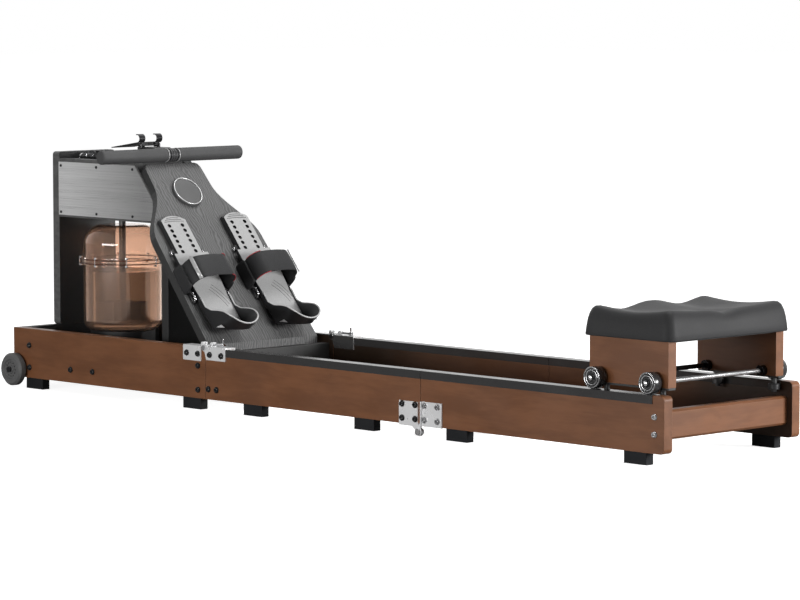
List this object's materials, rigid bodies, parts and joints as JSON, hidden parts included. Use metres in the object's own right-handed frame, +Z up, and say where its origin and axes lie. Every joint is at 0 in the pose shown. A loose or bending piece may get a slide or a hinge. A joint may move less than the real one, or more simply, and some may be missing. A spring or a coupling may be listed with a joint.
{
  "type": "folding water rowing machine",
  "caption": "Long wooden rail frame in hinged sections with a water tank tower, sloped footboard, strap handle and rolling seat.",
  "frame": {"origin": "middle of the footprint on the floor", "axes": "+X towards the seat end, +Y to the far side, +Z up"},
  "size_m": [2.064, 0.47, 0.5947],
  "materials": {
    "wood": "satin varnish, reddish brown",
    "black_wood": "black stained, satin",
    "black_plastic": "fine matt grain",
    "grey_plastic": "smooth satin",
    "dark_plastic": "satin",
    "steel": "brushed",
    "bright_steel": "polished",
    "black_metal": "black coat",
    "track_metal": "dark satin coat",
    "rubber": "matt",
    "grip_foam": "fine foam",
    "wheel_rubber": "ribbed, matt",
    "webbing": "woven",
    "seat_skin": "soft foam skin",
    "tank_clear": "clear amber tint",
    "water": "water"
  },
  "bodies": {
    "front_frame": {"front_boards": "wood", "front_cross_boards": "black_wood", "front_bolts": "black_metal", "front_feet": "rubber", "front_hinge_plates": "bright_steel", "tower_front_panel": "black_wood", "tower_sides": "black_wood", "tower_shelves": "black_wood", "side_plates": "steel", "footboard": "black_wood", "round_cap": "steel", "footrest_bases": "black_plastic", "foot_straps": "webbing", "tank_cradle": "black_plastic", "tank_body": "tank_clear", "tank_dome": "tank_clear", "tank_clamps": "bright_steel", "tank_water": "water", "shaft_bearing": "steel", "recoil_case": "black_plastic", "idler_bracket": "bright_steel", "strap_guide": "dark_plastic", "strap_inside": "webbing"},
    "paddle": {"paddle": "dark_plastic"},
    "strap_drum": {"strap_drum": "dark_plastic"},
    "rear_idler": {"rear_idler": "dark_plastic"},
    "front_idler": {"front_idler": "dark_plastic"},
    "handle": {"handle_core": "dark_plastic", "handle_grips": "grip_foam", "strap_end": "webbing"},
    "device_holder": {"device_holder": "black_metal"},
    "heel_rest_left": {"heel_rest_left": "grey_plastic"},
    "heel_rest_right": {"heel_rest_right": "grey_plastic"},
    "transport_wheel_near": {"transport_wheel_near": "wheel_rubber"},
    "transport_wheel_far": {"transport_wheel_far": "wheel_rubber"},
    "lock_bolt_near": {"lock_bolt_near": "bright_steel"},
    "lock_bolt_far": {"lock_bolt_far": "bright_steel"},
    "mid_frame": {"mid_boards": "wood", "mid_cross_boards": "wood", "mid_tracks": "track_metal", "mid_feet": "rubber", "mid_bolts": "black_metal", "mid_hinge_plates": "bright_steel", "hinge_pins": "bright_steel"},
    "rear_frame": {"rear_boards": "wood", "rear_cross_boards": "wood", "rear_tracks": "track_metal", "rear_feet": "rubber", "rear_bolts": "steel", "rear_hinge_plates": "bright_steel"},
    "seat": {"seat_pad": "seat_skin", "seat_base": "black_plastic", "seat_blocks": "wood", "seat_axles": "steel"},
    "front_rollers": {"front_rollers": "dark_plastic"},
    "rear_rollers": {"rear_rollers": "dark_plastic"},
    "guide_roller_1": {"guide_roller_1": "dark_plastic"},
    "guide_roller_2": {"guide_roller_2": "dark_plastic"},
    "guide_roller_3": {"guide_roller_3": "dark_plastic"},
    "guide_roller_4": {"guide_roller_4": "dark_plastic"}
  },
  "joints": [
    {"name": "mid_fold", "type": "hinge", "parent": "front_frame", "child": "mid_frame", "pos_m": [-0.328, 0, 0.14], "axis": [0, -1, 0], "range_deg": [0, 90]},
    {"name": "rear_fold", "type": "hinge", "parent": "mid_frame", "child": "rear_frame", "pos_m": [0.352, 0, 0.012], "axis": [0, 1, 0], "range_deg": [0, 165]},
    {"name": "seat_slide", "type": "slide", "parent": "rear_frame", "child": "seat", "axis": [1, 0, 0], "range_m": [-1, 0]},
    {"name": "handle_pull", "type": "slide", "parent": "front_frame", "child": "handle", "axis": [1, 0, 0], "range_m": [0, 1], "stiffness_N_per_m": 12, "springref_m": -1.5, "deforming": ["strap_end"]},
    {"name": "paddle_spin", "type": "hinge", "parent": "front_frame", "child": "paddle", "pos_m": [-0.857, 0, 0.2], "axis": [0, 0, 1], "continuous": true},
    {"name": "holder_tilt", "type": "hinge", "parent": "front_frame", "child": "device_holder", "pos_m": [-0.758, 0, 0.569], "axis": [0, 1, 0], "range_deg": [0, 65]},
    {"name": "heel_slide_left", "type": "slide", "parent": "front_frame", "child": "heel_rest_left", "axis": [0.632, 0, -0.7749], "range_m": [-0.024, 0.024]},
    {"name": "heel_slide_right", "type": "slide", "parent": "front_frame", "child": "heel_rest_right", "axis": [0.632, 0, -0.7749], "range_m": [-0.024, 0.024]},
    {"name": "wheel_near_spin", "type": "hinge", "parent": "front_frame", "child": "transport_wheel_near", "pos_m": [-0.994, -0.2195, 0.043], "axis": [0, 1, 0], "continuous": true},
    {"name": "wheel_far_spin", "type": "hinge", "parent": "front_frame", "child": "transport_wheel_far", "pos_m": [-0.994, 0.2195, 0.043], "axis": [0, 1, 0], "continuous": true},
    {"name": "lock_bolt_near_slide", "type": "slide", "parent": "mid_frame", "child": "lock_bolt_near", "axis": [1, 0, 0], "range_m": [-0.024, 0]},
    {"name": "lock_bolt_far_slide", "type": "slide", "parent": "mid_frame", "child": "lock_bolt_far", "axis": [1, 0, 0], "range_m": [-0.024, 0]},
    {"name": "strap_drum_spin", "type": "hinge", "parent": "front_frame", "child": "strap_drum", "pos_m": [-0.857, 0, 0.45], "axis": [0, 0, 1], "range_deg": [-1850, 0]},
    {"name": "rear_idler_spin", "type": "hinge", "parent": "front_frame", "child": "rear_idler", "pos_m": [-0.946, 0, 0.5357], "axis": [0, 1, 0], "range_deg": [0, 4660]},
    {"name": "front_idler_spin", "type": "hinge", "parent": "front_frame", "child": "front_idler", "pos_m": [-0.738, 0, 0.5357], "axis": [0, 1, 0], "range_deg": [0, 4660]},
    {"name": "front_roller_spin", "type": "hinge", "parent": "seat", "child": "front_rollers", "pos_m": [0.833, 0, 0.1622], "axis": [0, 1, 0], "range_deg": [-2610, 0]},
    {"name": "rear_roller_spin", "type": "hinge", "parent": "seat", "child": "rear_rollers", "pos_m": [0.981, 0, 0.1622], "axis": [0, 1, 0], "range_deg": [-2610, 0]},
    {"name": "guide_roller_1_spin", "type": "hinge", "parent": "seat", "child": "guide_roller_1", "pos_m": [0.845, -0.1687, 0.129], "axis": [0, 0, 1], "range_deg": [0, 4780]},
    {"name": "guide_roller_2_spin", "type": "hinge", "parent": "seat", "child": "guide_roller_2", "pos_m": [0.995, -0.1687, 0.129], "axis": [0, 0, 1], "range_deg": [0, 4780]},
    {"name": "guide_roller_3_spin", "type": "hinge", "parent": "seat", "child": "guide_roller_3", "pos_m": [0.845, 0.1687, 0.129], "axis": [0, 0, 1], "range_deg": [-4780, 0]},
    {"name": "guide_roller_4_spin", "type": "hinge", "parent": "seat", "child": "guide_roller_4", "pos_m": [0.995, 0.1687, 0.129], "axis": [0, 0, 1], "range_deg": [-4780, 0]}
  ],
  "couplings": [
    {"joint": "strap_drum_spin", "follows": "handle_pull", "rad_per_m": -32.25},
    {"joint": "rear_idler_spin", "follows": "handle_pull", "rad_per_m": 81.3},
    {"joint": "front_idler_spin", "follows": "handle_pull", "rad_per_m": 81.3},
    {"joint": "front_roller_spin", "follows": "seat_slide", "rad_per_m": 45.455},
    {"joint": "rear_roller_spin", "follows": "seat_slide", "rad_per_m": 45.455},
    {"joint": "guide_roller_1_spin", "follows": "seat_slide", "rad_per_m": -83.333},
    {"joint": "guide_roller_2_spin", "follows": "seat_slide", "rad_per_m": -83.333},
    {"joint": "guide_roller_3_spin", "follows": "seat_slide", "rad_per_m": 83.333},
    {"joint": "guide_roller_4_spin", "follows": "seat_slide", "rad_per_m": 83.333}
  ]
}
